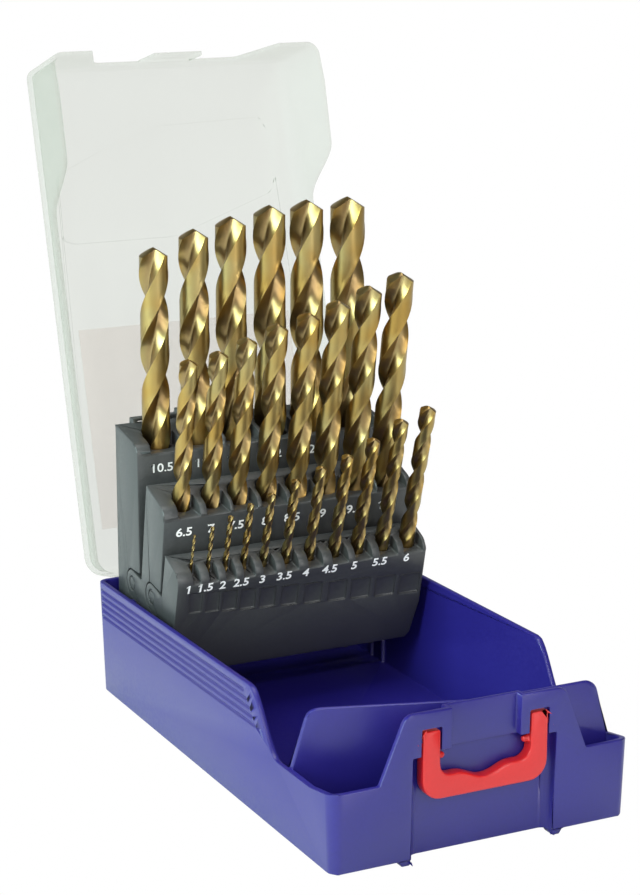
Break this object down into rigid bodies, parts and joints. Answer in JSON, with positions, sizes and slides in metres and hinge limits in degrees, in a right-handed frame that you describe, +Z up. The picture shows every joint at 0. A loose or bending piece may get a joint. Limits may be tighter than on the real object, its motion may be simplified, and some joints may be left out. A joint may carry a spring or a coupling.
{
  "type": "drill bit case",
  "caption": "Hinged drill bit case with a clear lid, a folding carry handle and folding racks that raise graded twist drills as the lid opens.",
  "frame": {"origin": "under the middle of the open case, on the surface that its feet stand on", "axes": "+Z up, -Y towards the front panel and handle, +X to the right seen from the front"},
  "size_m": [0.1102, 0.2572, 0.2355],
  "materials": {
    "blue_plastic": "moulded, satin",
    "red_plastic": "moulded, satin",
    "clear_plastic": "moulded, frosted clear",
    "label_paper": "blank sticker",
    "pin_steel": "drawn wire",
    "black_plastic": "moulded, fine texture",
    "drill_steel": "ground, straw-gold"
  },
  "bodies": {
    "root": {"tray": "blue_plastic", "hinge_pins": "pin_steel"},
    "lid": {"lid": "clear_plastic", "lid_label": "label_paper"},
    "handle": {"handle": "red_plastic"},
    "rear_rack": {"rear_rack": "black_plastic"},
    "middle_rack": {"middle_rack": "black_plastic"},
    "front_rack": {"front_rack": "black_plastic"},
    "drill_10_5": {"drill_10_5": "drill_steel"},
    "drill_11": {"drill_11": "drill_steel"},
    "drill_11_5": {"drill_11_5": "drill_steel"},
    "drill_12": {"drill_12": "drill_steel"},
    "drill_12_5": {"drill_12_5": "drill_steel"},
    "drill_13": {"drill_13": "drill_steel"},
    "drill_6_5": {"drill_6_5": "drill_steel"},
    "drill_7": {"drill_7": "drill_steel"},
    "drill_7_5": {"drill_7_5": "drill_steel"},
    "drill_8": {"drill_8": "drill_steel"},
    "drill_8_5": {"drill_8_5": "drill_steel"},
    "drill_9": {"drill_9": "drill_steel"},
    "drill_9_5": {"drill_9_5": "drill_steel"},
    "drill_10": {"drill_10": "drill_steel"},
    "drill_1": {"drill_1": "drill_steel"},
    "drill_1_5": {"drill_1_5": "drill_steel"},
    "drill_2": {"drill_2": "drill_steel"},
    "drill_2_5": {"drill_2_5": "drill_steel"},
    "drill_3": {"drill_3": "drill_steel"},
    "drill_3_5": {"drill_3_5": "drill_steel"},
    "drill_4": {"drill_4": "drill_steel"},
    "drill_4_5": {"drill_4_5": "drill_steel"},
    "drill_5": {"drill_5": "drill_steel"},
    "drill_5_5": {"drill_5_5": "drill_steel"},
    "drill_6": {"drill_6": "drill_steel"}
  },
  "joints": [
    {"name": "lid_hinge", "type": "hinge", "parent": "root", "child": "lid", "pos_m": [0, 0.06457, 0.0444], "axis": [1, 0, 0], "range_deg": [0, 104.4]},
    {"name": "rear_rack_fold", "type": "hinge", "parent": "root", "child": "rear_rack", "pos_m": [0, 0.03777, 0.0399], "axis": [1, 0, 0], "range_deg": [0, 90]},
    {"name": "middle_rack_fan", "type": "hinge", "parent": "rear_rack", "child": "middle_rack", "pos_m": [0, 0.04137, 0.0483], "axis": [1, 0, 0], "range_deg": [-9.5, 0]},
    {"name": "front_rack_fan", "type": "hinge", "parent": "middle_rack", "child": "front_rack", "pos_m": [0, 0.02356, 0.04811], "axis": [1, 0, 0], "range_deg": [-4, 0]},
    {"name": "handle_swing", "type": "hinge", "parent": "root", "child": "handle", "pos_m": [0, -0.12643, 0.0404], "axis": [-1, 0, 0], "range_deg": [0, 80]},
    {"name": "drill_10_5_lift", "type": "slide", "parent": "rear_rack", "child": "drill_10_5", "axis": [0, 0, -1], "range_m": [-0.0705, 0]},
    {"name": "drill_11_lift", "type": "slide", "parent": "rear_rack", "child": "drill_11", "axis": [0, 0, -1], "range_m": [-0.074, 0]},
    {"name": "drill_11_5_lift", "type": "slide", "parent": "rear_rack", "child": "drill_11_5", "axis": [0, 0, -1], "range_m": [-0.0705, 0]},
    {"name": "drill_12_lift", "type": "slide", "parent": "rear_rack", "child": "drill_12", "axis": [0, 0, -1], "range_m": [-0.0765, 0]},
    {"name": "drill_12_5_lift", "type": "slide", "parent": "rear_rack", "child": "drill_12_5", "axis": [0, 0, -1], "range_m": [-0.0755, 0]},
    {"name": "drill_13_lift", "type": "slide", "parent": "rear_rack", "child": "drill_13", "axis": [0, 0, -1], "range_m": [-0.0755, 0]},
    {"name": "drill_6_5_lift", "type": "slide", "parent": "middle_rack", "child": "drill_6_5", "axis": [0, 0.165, -0.9863], "range_m": [-0.0545, 0]},
    {"name": "drill_7_lift", "type": "slide", "parent": "middle_rack", "child": "drill_7", "axis": [0, 0.165, -0.9863], "range_m": [-0.0605, 0]},
    {"name": "drill_7_5_lift", "type": "slide", "parent": "middle_rack", "child": "drill_7_5", "axis": [0, 0.165, -0.9863], "range_m": [-0.0565, 0]},
    {"name": "drill_8_lift", "type": "slide", "parent": "middle_rack", "child": "drill_8", "axis": [0, 0.165, -0.9863], "range_m": [-0.0605, 0]},
    {"name": "drill_8_5_lift", "type": "slide", "parent": "middle_rack", "child": "drill_8_5", "axis": [0, 0.165, -0.9863], "range_m": [-0.0575, 0]},
    {"name": "drill_9_lift", "type": "slide", "parent": "middle_rack", "child": "drill_9", "axis": [0, 0.165, -0.9863], "range_m": [-0.062, 0]},
    {"name": "drill_9_5_lift", "type": "slide", "parent": "middle_rack", "child": "drill_9_5", "axis": [0, 0.165, -0.9863], "range_m": [-0.0575, 0]},
    {"name": "drill_10_lift", "type": "slide", "parent": "middle_rack", "child": "drill_10", "axis": [0, 0.165, -0.9863], "range_m": [-0.0615, 0]},
    {"name": "drill_1_lift", "type": "slide", "parent": "front_rack", "child": "drill_1", "axis": [0, 0.284, -0.9588], "range_m": [-0.027, 0]},
    {"name": "drill_1_5_lift", "type": "slide", "parent": "front_rack", "child": "drill_1_5", "axis": [0, 0.284, -0.9588], "range_m": [-0.0305, 0]},
    {"name": "drill_2_lift", "type": "slide", "parent": "front_rack", "child": "drill_2", "axis": [0, 0.284, -0.9588], "range_m": [-0.036, 0]},
    {"name": "drill_2_5_lift", "type": "slide", "parent": "front_rack", "child": "drill_2_5", "axis": [0, 0.284, -0.9588], "range_m": [-0.04, 0]},
    {"name": "drill_3_lift", "type": "slide", "parent": "front_rack", "child": "drill_3", "axis": [0, 0.284, -0.9588], "range_m": [-0.041, 0]},
    {"name": "drill_3_5_lift", "type": "slide", "parent": "front_rack", "child": "drill_3_5", "axis": [0, 0.284, -0.9588], "range_m": [-0.0455, 0]},
    {"name": "drill_4_lift", "type": "slide", "parent": "front_rack", "child": "drill_4", "axis": [0, 0.284, -0.9588], "range_m": [-0.0465, 0]},
    {"name": "drill_4_5_lift", "type": "slide", "parent": "front_rack", "child": "drill_4_5", "axis": [0, 0.284, -0.9588], "range_m": [-0.048, 0]},
    {"name": "drill_5_lift", "type": "slide", "parent": "front_rack", "child": "drill_5", "axis": [0, 0.284, -0.9588], "range_m": [-0.0485, 0]},
    {"name": "drill_5_5_lift", "type": "slide", "parent": "front_rack", "child": "drill_5_5", "axis": [0, 0.284, -0.9588], "range_m": [-0.049, 0]},
    {"name": "drill_6_lift", "type": "slide", "parent": "front_rack", "child": "drill_6", "axis": [0, 0.284, -0.9588], "range_m": [-0.045, 0]}
  ],
  "couplings": [
    {"joint": "rear_rack_fold", "follows": "lid_hinge", "ratio": 0.86207},
    {"joint": "middle_rack_fan", "follows": "lid_hinge", "ratio": -0.090995},
    {"joint": "front_rack_fan", "follows": "lid_hinge", "ratio": -0.038314}
  ]
}
